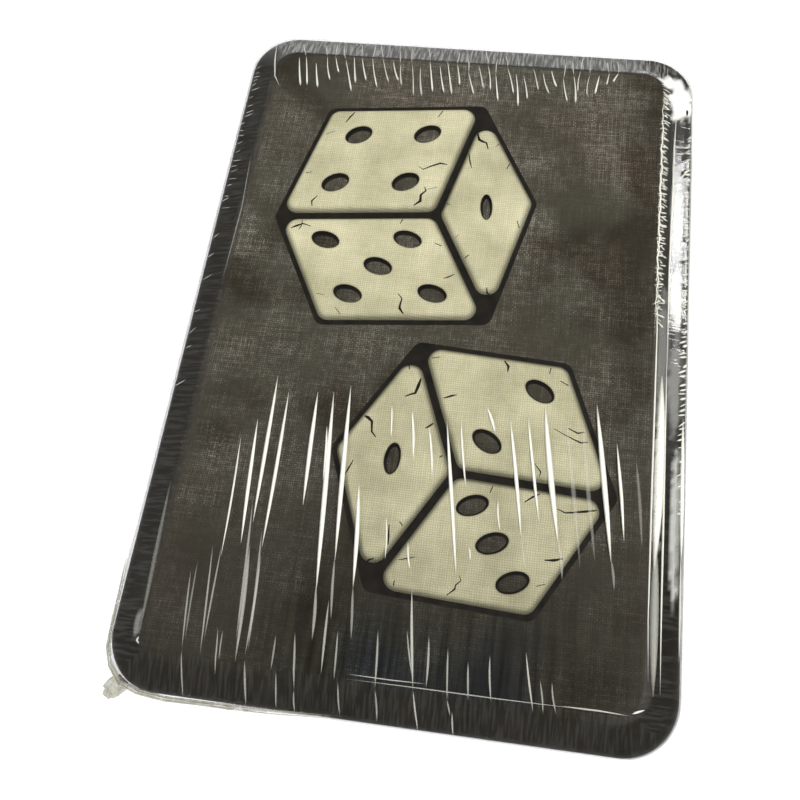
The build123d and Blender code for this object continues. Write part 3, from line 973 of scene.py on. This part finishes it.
def make_film_over_lid():
    bm = bmesh.new()
    layers = [bm.verts.layers.float.new(name) for name in ("side", "crease", "haze_and_reflection", "white_highlight")]
    profile = film_profile()
    rings = []
    for k, (inset, z) in enumerate(profile):
        corner = plan_corner(max(inset, 0)) if inset < RIDGE_INSET else FILM_CORNER
        corner = min(corner, lid_high.x - inset - 0.2 * MM)
        ring = rounded_rectangle(inset, max(corner, 0.3 * MM), z, 16, 110, 150)
        if k > 9:
            for p in ring:
                p.z = film_height(p, inset)
        rings.append(ring)
    for (inset, z), ring in zip(profile, rings):
        at_edge = math.exp(-((inset - 0.4 * MM) / (1.2 * MM)) ** 2)
        at_ridge = math.exp(-((inset - 6.4 * MM) / (0.8 * MM)) ** 2)
        for p in ring:
            loose = 1.0 if p.x > LOOSE_FROM else CALM
            p.z += crinkle(p, (EDGE_PUCKER * at_edge + RIDGE_PUCKER * at_ridge) * loose)
    loops = skin(bm, rings)
    fill(bm, [loops[-1]], 0)
    for vert in bm.verts:
        for layer, value in zip(layers, film_marks(vert.co)):
            vert[layer] = value
    for vert in bm.verts:
        off = bulge(vert.co)
        if off > 0:
            waves = 0.55 + 0.45 * noise.noise(vert.co / (1.6 * MM))
            away = flat_vector(vert.co - Vector((lid_low.x + LID_CORNER, lid_low.y + LID_CORNER, 0)))
            away = Vector((min(away.x, 0), min(away.y, 0), 0)).normalized()
            vert.co += away * off * waves * BULGE
    film = piece("film_over_lid", bm, "lid", ("film",))
    thicken(film)
    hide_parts("film_lid")
    return film


def bulge(point):
    """How far the film stands off the skirt at the loose front left corner, from 0 to 1."""
    if film_inset(point) > 0.6 * MM:
        return 0.0
    from_corner = math.hypot((point.x - lid_low.x) * 0.6, (point.y - lid_low.y) * 0.6)
    return max(0.0, 1 - from_corner / BULGE_REACH) ** 0.7 * min((lid_high.z - point.z) / (3 * MM), 1)


# Painted highlights on the film, white patches where it mirrors the light: middle, half lengths across and
# along the tin in mm, and strength
PAINTED_HIGHLIGHT_PATCHES = (
    ((47.4, 60.0), (2.4, 4.6), 1.0), ((45.2, 65.0), (2.6, 1.6), 0.9), ((47.3, 30.0), (1.3, 9.0), 0.35),
    ((47.5, 12.5), (1.3, 6.5), 0.6), ((45.0, -25.0), (0.8, 12.0), 0.25), ((48.3, -33.0), (0.8, 14.0), 0.3),
    ((45.1, -2.0), (1.1, 16.0), 0.08), ((47.6, -6.0), (1.2, 10.0), 0.11), ((-44.6, -61.5), (0.7, 2.2), 0.10),
)


def film_marks(point):
    """For a point of the film: 1 on the long sides, how creased it is, how streaked with haze and painted
    reflection, and how white with painted highlight.
    """
    inset = film_inset(point)
    outer = 1.0 if 0.3 * MM < inset < RIDGE_INSET - 0.5 * MM else 0.0
    white_highlight = 0.0
    for (x, y), (half_x, half_y), strength in PAINTED_HIGHLIGHT_PATCHES:
        away = math.hypot((point.x / MM - x) / half_x, (point.y / MM - y) / half_y)
        ragged = away + 0.4 * noise.noise(point / (1.5 * MM))
        white_highlight = max(white_highlight, strength * min(max((1.15 - ragged) * 3, 0), 1))
    if not by_long_side(point):
        far = point.y > 0
        return 0.0, 0.15 + outer * (0.85 if far else 0.35), outer * (0.13 if far else 0.008), white_highlight
    return 1.0, 0.15 + outer * (0.25 if point.x > 0 else 0.15), outer * 0.01, white_highlight


EAR_MIDDLE = Vector((-47.4, -72.2, 25.5)) * MM
EAR_HALF = Vector((2.1, 1.5, 2.2)) * MM


def make_film_ear():
    """The crumpled tip that the film is twisted into at the front left corner."""
    bm = bmesh.new()
    bmesh.ops.create_icosphere(bm, subdivisions=4, radius=1)
    turn = Matrix.Rotation(math.radians(45), 3, "Z")
    for vert in bm.verts:
        crumple = 1 + 0.45 * noise.noise(vert.co * 1.7) + 0.16 * noise.noise(vert.co * 6.0)
        vert.co = EAR_MIDDLE + turn @ (vert.co * EAR_HALF * crumple)
    return piece("film_ear", bm, "lid", ("crumple",))


# The film's gathered hem round the front left corner, as pixels, and its strands: shift in pixels, width in mm
HEM = ((127, 558), (121, 585), (113, 619), (108, 646), (110, 664), (119, 682), (137, 692), (164, 699),
       (197, 703), (230, 707), (275, 712), (330, 717))
HEM_STRANDS = ((0.0, 0.55), (1.5, 0.35), (-1.5, 0.3))


def make_film_hem():
    bm = bmesh.new()
    layer = bm.verts.layers.float.new("strength")
    draw = random.Random(3)
    for shift, width in HEM_STRANDS:
        pixels = [(x + shift + draw.uniform(-0.6, 0.6), y - shift + draw.uniform(-0.6, 0.6)) for x, y in HEM]
        stroke(bm, layer, pixels, width * MM, 1.0)
    return piece("film_hem", bm, "lid", ("crumple",), outward=False)


def thicken(film):
    wall = film.modifiers.new("wall", "SOLIDIFY")
    wall.thickness = FILM_WALL
    wall.offset = -1


def make_film_round_tray():
    bm = bmesh.new()
    crease = bm.verts.layers.float.new("crease")
    low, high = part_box("film_sides")
    rows = 8
    rings = []
    for k in range(rows + 1):
        share = k / rows
        inset = (TRAY_INSET - REACH) * (1 - share) - REACH * share
        ring = rounded_rectangle(inset, LID_CORNER - inset, low.z + (high.z - low.z) * share, 16, 60, 90)
        for p in ring:
            pull = 0.12 * MM * noise.noise(Vector((p.x / (3 * MM), p.y / (3 * MM), share * 1.5)))
            pull *= math.sin(math.pi * share)
            p.x += math.copysign(pull, p.x)
            p.y += math.copysign(pull, p.y)
        rings.append(ring)
    skin(bm, rings)
    for vert in bm.verts:
        vert[crease] = 0.8
    film = piece("film_round_tray", bm, "base", ("film",))
    thicken(film)
    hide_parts("film_sides")
    return film


def make_film_under_tray():
    bm = bmesh.new()
    low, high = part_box("film_underside")
    inset = TRAY_INSET - REACH
    closed_skin(bm, [rounded_rectangle(inset, LID_CORNER - inset, z) for z in (low.z, high.z)])
    film = piece("film_under_tray", bm, "base", ("film",))
    sharp_over(film, 40)
    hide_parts("film_underside")
    return film


UP = Vector((0, 0, 1))
SLIVER_DEPTH = 0.03 * MM     # how far a fold's or an ink stroke's keel reaches down
FOLD_LIFT = 0.07 * MM        # how far folds stand off the film, clear of its wall
FOLD_RISE = 0.12 * MM

# Folds of the film over the lid's panel, between pixels of the photograph: far end, near end, width in mm and
# how white its painted highlight is
LONG_FOLDS = (
    (278, 376, 253, 522, 0.75, 0.95), (289, 392, 262, 547, 0.70, 0.9), (258, 419, 241, 543, 0.7, 1.0),
    (241, 437, 221, 556, 0.4, 0.8), (318, 392, 303, 505, 0.8, 1.0), (334, 392, 316, 592, 0.95, 1.0),
    (327, 426, 323, 480, 0.5, 0.9), (351, 386, 335, 560, 0.9, 1.0), (359, 483, 353, 587, 0.8, 1.0),
    (392, 404, 391, 438, 0.35, 0.9), (412, 410, 413, 460, 0.5, 1.0), (429, 426, 432, 478, 0.45, 0.95),
    (447, 421, 456, 576, 0.7, 1.0), (461, 420, 466, 489, 0.45, 0.9), (487, 407, 495, 433, 0.6, 0.9),
    (510, 417, 521, 538, 0.7, 1.0), (528, 416, 539, 524, 0.6, 0.95), (545, 405, 558, 544, 1.1, 1.0),
    (597, 405, 611, 562, 1.0, 1.0), (617, 444, 624, 541, 0.6, 0.95), (498, 499, 500, 531, 0.35, 0.8),
    (386, 516, 385, 559, 0.35, 0.8), (408, 542, 410, 570, 0.35, 0.85), (469, 547, 470, 561, 0.3, 0.8),
)
FAINT_FOLDS = (
    (253, 500, 236, 640, 0.5, 0.32), (262, 530, 248, 650, 0.5, 0.3), (566, 418, 580, 568, 0.8, 0.16),
    (582, 416, 595, 563, 0.8, 0.16), (636, 459, 642, 549, 0.6, 0.15), (191, 570, 182, 648, 0.35, 0.3),
    (198, 560, 185, 640, 0.3, 0.2), (213, 545, 200, 655, 0.35, 0.35), (222, 545, 204, 640, 0.35, 0.3),
    (250, 545, 235, 662, 0.7, 0.38), (261, 555, 245, 655, 0.5, 0.34), (218, 628, 215, 675, 0.3, 0.32),
    (223, 630, 219, 660, 0.25, 0.28), (276, 635, 271, 670, 0.35, 0.26), (295, 632, 294, 690, 0.4, 0.34),
    (329, 600, 321, 674, 0.45, 0.42), (338, 630, 334, 680, 0.35, 0.35), (378, 630, 375, 688, 0.4, 0.38),
    (412, 588, 413, 690, 0.5, 0.6), (407, 630, 412, 676, 0.3, 0.4), (429, 636, 426, 688, 0.4, 0.42),
    (448, 648, 447, 700, 0.35, 0.38), (468, 662, 468, 700, 0.35, 0.38), (490, 655, 491, 702, 0.35, 0.45),
    (526, 652, 533, 712, 0.35, 0.6), (540, 680, 543, 714, 0.3, 0.35), (552, 682, 556, 714, 0.3, 0.35),
    (316, 585, 312, 640, 0.6, 0.35), (353, 585, 351, 640, 0.5, 0.25), (335, 556, 331, 620, 0.5, 0.3),
    (611, 560, 614, 590, 0.5, 0.22), (521, 536, 525, 570, 0.4, 0.22), (558, 540, 562, 580, 0.6, 0.22),
    (245, 660, 246, 706, 0.4, 0.3), (182, 650, 183, 698, 0.3, 0.3), (276, 672, 276, 708, 0.3, 0.3),
    (294, 690, 295, 712, 0.3, 0.3), (375, 690, 377, 722, 0.35, 0.28), (413, 690, 418, 731, 0.3, 0.5),
    (452, 712, 453, 736, 0.3, 0.4), (171, 480, 139, 636, 0.8, 0.14), (447, 700, 450, 716, 0.3, 0.3),
    (338, 682, 340, 716, 0.3, 0.3),
)
FAINTNESS = 0.55             # share of a faint fold's painted white highlight that is left under the studio light

# Chains of pixels, most of them along the right side: the folds' points, width in mm and how white their
# painted highlights are
SIDE_FOLDS = (
    (((690, 169), (683, 176), (673, 187)), 0.35, 0.9),
    (((677, 105), (674, 153), (673, 186), (671, 226), (669, 276), (668, 320), (667, 370)), 0.45, 0.85),
    (((667, 350), (664, 480), (661, 620), (660, 695)), 0.45, 0.8),
    (((659, 268), (656, 360), (652, 480), (648, 620), (648, 682)), 0.42, 0.78),
    (((662, 376), (658, 490), (654, 570)), 2.1, 1.0), (((656, 540), (654, 620), (653, 697)), 1.5, 0.25),
    (((692, 84), (692, 170), (690, 260), (687, 360)), 0.22, 0.9),
    (((683, 418), (682, 490), (681, 565)), 0.8, 0.95),
    (((681, 550), (680, 610), (679, 664)), 0.4, 0.5), (((632, 714), (638, 712), (645, 710)), 0.4, 0.9),
    (((560, 706), (600, 711), (629, 716)), 0.3, 0.4), (((347, 674), (390, 680), (426, 684)), 0.22, 0.3),
    (((347, 679), (410, 687), (499, 699), (580, 709)), 0.22, 0.25),
    (((139, 636), (137, 640), (139, 644)), 0.4, 0.5),
    (((277, 46), (275, 62), (275, 76), (280, 87)), 0.35, 0.5),
    (((252, 150), (242, 207), (222, 282)), 0.25, 0.12),
)


def spindle(bm, layer, points, width, rise, strength, drop=False):
    """A closed sliver along points that tapers to both ends, or swells to a drop at its last end."""
    count = len(points) - 1
    rings, shares = [], []
    for k, p in enumerate(points):
        share = k / count
        swell = max(math.sin(math.pi * share), 0.04) ** 0.7
        if drop:
            swell = 0.25 + 0.75 * share if k < count else 0.3
        ahead = points[min(k + 1, count)] - points[max(k - 1, 0)]
        side = to_the_right(ahead).normalized() * (width / 2 * swell)
        rings.append([p - side, p - UP * SLIVER_DEPTH, p + side, p + UP * rise * swell])
        shares.append(strength * min(1.0, 1.6 * math.sin(math.pi * (0.06 + 0.88 * share))))
    loops = skin(bm, rings)
    for end in (loops[0], loops[-1]):
        bmesh.ops.edgeloop_fill(bm, edges=end)
    for loop, share in zip(loops, shares):
        for vert in verts_of(loop):
            vert[layer] = share


def on_film(point):
    return Vector((point.x, point.y, film_height(point) + FOLD_LIFT))


def film_at(x, y):
    """The point of the film that the photograph shows at pixel x, y."""
    height = PANEL_TOP
    for _ in range(4):
        point = at_pixel(x, y, height)
        height = film_height(point)
    return on_film(point)


def stroke(bm, layer, pixels, width, strength):
    """A fold along a chain of pixels."""
    stations = [film_at(x, y) for x, y in pixels]
    points = []
    for a, b in zip(stations, stations[1:]):
        count = max(2, int((b - a).length / (1.2 * MM)))
        points += [on_film(a.lerp(b, k / count)) for k in range(count)]
    spindle(bm, layer, points + [stations[-1]], width, FOLD_RISE, strength)


def line_on_film(start, end, count, sway=0.0):
    """Points on the film from start to end, swayed sideways to a slight bow."""
    across = to_the_right(end - start).normalized()
    shares = [k / count for k in range(count + 1)]
    return [on_film(start.lerp(end, s) + across * sway * math.sin(math.pi * s)) for s in shares]


# The far ridge in pixels, where its short folds begin: start, slope, step from fold to fold and their number
FAR_RIDGE = (298, 55)
FAR_RIDGE_SLOPE = 0.062
FAR_FOLD_STEP = 9.45
FAR_FOLDS = 35


def far_folds(bm, layer, draw):
    """Short folds drawn over the far ridge by the film's shrinking."""
    for k in range(FAR_FOLDS):
        x = FAR_RIDGE[0] + FAR_FOLD_STEP * k + draw.uniform(-2.0, 2.0)
        ridge = FAR_RIDGE[1] + FAR_RIDGE_SLOPE * (x - FAR_RIDGE[0])
        start = ridge + draw.uniform(-2, 9)
        length = draw.uniform(16, 36) * (1 - max(0, x - 560) / 110)
        slant = draw.uniform(1, 6) if x < 580 else -draw.uniform(2, 6)
        # how strong the fold's painted white highlight is
        white_highlight = draw.choice((0.4, 0.6, 0.8, 0.9))
        far = at_pixel(x, start, PANEL_TOP)
        near = at_pixel(x + slant, start + length, PANEL_TOP)
        line = line_on_film(far, near, 8, draw.uniform(-0.2, 0.25) * MM)
        spindle(bm, layer, line, draw.uniform(0.36, 0.58) * MM, 0.15 * MM, white_highlight, drop=True)
        if draw.random() < 0.5:
            upper = at_pixel(x + draw.uniform(-3, 3), start - draw.uniform(10, 16), MARGIN_TOP)
            line = line_on_film(upper, far, 6, draw.uniform(-0.2, 0.2) * MM)
            spindle(bm, layer, line, 0.25 * MM, 0.08 * MM, 0.35)


def puckers(bm, layer, draw, first, last, fold, step, points, rise, white_highlight, drop=False):
    """Short folds one after another along the tin, from the first to the last y in mm."""
    y = first
    while y > last:
        start, end, width = fold(y)
        line = line_on_film(Vector((*start, 0)) * MM, Vector((*end, 0)) * MM, points)
        # each fold gets a painted white highlight, of a strength drawn from the given range
        spindle(bm, layer, line, width * MM, rise * MM, draw.uniform(*white_highlight), drop)
        y -= step(y)


def edge_folds(bm, layer, draw):
    """Puckers across the left margin, over the right ridge and across the right margin."""
    def across_left(y):
        x = -49.6 + draw.uniform(0, 0.6)
        reach = draw.uniform(1.0, 2.6)
        tilt = draw.uniform(-0.3, 0.9) if y > 20 else draw.uniform(0.5, 1.6)
        return (x, y), (x + reach, y + tilt), 0.2

    def over_ridge(y):
        start = (43.2 + draw.uniform(-0.6, 0.5), y)
        end = (44.8 + draw.uniform(-0.9, 0.5), y + draw.uniform(-1.0, 1.2))
        return start, end, draw.uniform(0.25, 0.6)

    def across_right(y):
        end = (49.9 - draw.uniform(0.6, 1.9), y - draw.uniform(0.2, 1.4))
        return (49.9, y), end, draw.uniform(0.25, 0.6)

    def left_step(y):
        return draw.uniform(1.0, 2.6) if y > 25 else draw.uniform(3, 9)

    def ridge_step(_):
        return draw.uniform(0.3, 0.75)

    def right_step(_):
        return draw.uniform(0.8, 1.7)

    puckers(bm, layer, draw, 62.0, -20, across_left, left_step, 5, 0.06, (0.15, 0.4))
    puckers(bm, layer, draw, 63.0, 6, over_ridge, ridge_step, 5, 0.15, (0.6, 1.0), drop=True)
    puckers(bm, layer, draw, 52.0, -32, across_right, right_step, 4, 0.1, (0.5, 0.95))
    # a painted highlight line along the right ridge
    ridge = [(43.3 + 0.12 * math.sin(1.9 * t) + 0.1 * math.sin(0.7 * t), 62 - t, 0) for t in range(60)]
    spindle(bm, layer, [on_film(Vector(p) * MM) for p in ridge], 0.4 * MM, 0.1 * MM, 0.85)


def make_film_folds():
    bm = bmesh.new()
    layer = bm.verts.layers.float.new("strength")
    draw = random.Random(7)
    faint = [(*fold[:5], fold[5] * FAINTNESS) for fold in FAINT_FOLDS]
    for x0, y0, x1, y1, width, strength in [*LONG_FOLDS, *faint]:
        start, end = film_at(x0, y0), film_at(x1, y1)
        line = line_on_film(start, end, 12, draw.uniform(-0.2, 0.2) * MM)
        spindle(bm, layer, line, width * MM, FOLD_RISE, strength)
    for pixels, width, strength in SIDE_FOLDS:
        stroke(bm, layer, pixels, width * MM, strength)
    far_folds(bm, layer, draw)
    edge_folds(bm, layer, draw)
    return piece("film_folds", bm, "lid", ("fold",), outward=False)


# Stage

def make_stage():
    bm = bmesh.new()
    bmesh.ops.create_grid(bm, x_segments=1, y_segments=1, size=3)
    mesh = bpy.data.meshes.new("table_top")
    bm.to_mesh(mesh)
    bm.free()
    floor = add_object("table_top", mesh)
    n = Finish("pale_table")
    mesh.materials.append(n.done(n.principled(Base_Color=grey(0.93), Roughness=0.7)))


def area_light(name, direction, distance, size, power, mirrored=False):
    """A rectangular light aimed at the tin; only a mirrored one shows up as a highlight in the film."""
    data = bpy.data.lights.new(name, "AREA")
    data.shape = "RECTANGLE"
    data.size, data.size_y = size
    data.energy = power
    lamp = add_object(name, data)
    lamp.visible_glossy = mirrored
    lamp.location = Vector(direction).normalized() * distance
    lamp.rotation_euler = (-Vector(direction)).to_track_quat("-Z", "Y").to_euler()


def make_light():
    area_light("overhead", (0.20, -0.16, 0.96), 1.2, (0.42, 0.42), 13.0)
    area_light("left_fill", (-0.80, -0.20, 0.50), 1.0, (0.5, 0.4), 5.0)
    area_light("right_fill", (0.92, -0.30, 0.25), 1.0, (0.4, 0.3), 5.0)
    area_light("right_window", (0.53, 0.50, 0.69), 0.8, (0.16, 0.12), 0.65, mirrored=True)
    area_light("right_wall", (0.60, 0.45, 0.60), 1.0, (0.5, 0.5), 0.3, mirrored=True)
    n = Nodes(bpy.data.worlds.new("studio"))
    bpy.context.scene.world = n.owner
    _, y, z = n.add("SeparateXYZ", {0: n.add("TexCoord").outputs["Generated"]}).outputs
    height = n.ramp(z, (0.0, 1.0), (0.26, 0.9), (0.45, 0.35), (0.75, 0.16))
    back = n.ramp(y, (0.0, (0.30, 0.31, 0.34, 1)), (0.66, 0.22), (0.92, 0.86))
    background = n.add("Background", {0: n.tint(height, back)}).outputs[0]
    n.add("OutputWorld", {0: background})
    bpy.context.scene.view_settings.view_transform = "Standard"


FINISH = finish_table()
make_camera()
make_stage()
make_light()
make_lid()
make_ink_strokes()
make_lid_pad()
make_tray()
make_foam()
make_dice()
over_lid = make_film_over_lid()
ear = make_film_ear()
hem = make_film_hem()
round_tray = make_film_round_tray()
under_tray = make_film_under_tray()
folds = make_film_folds()
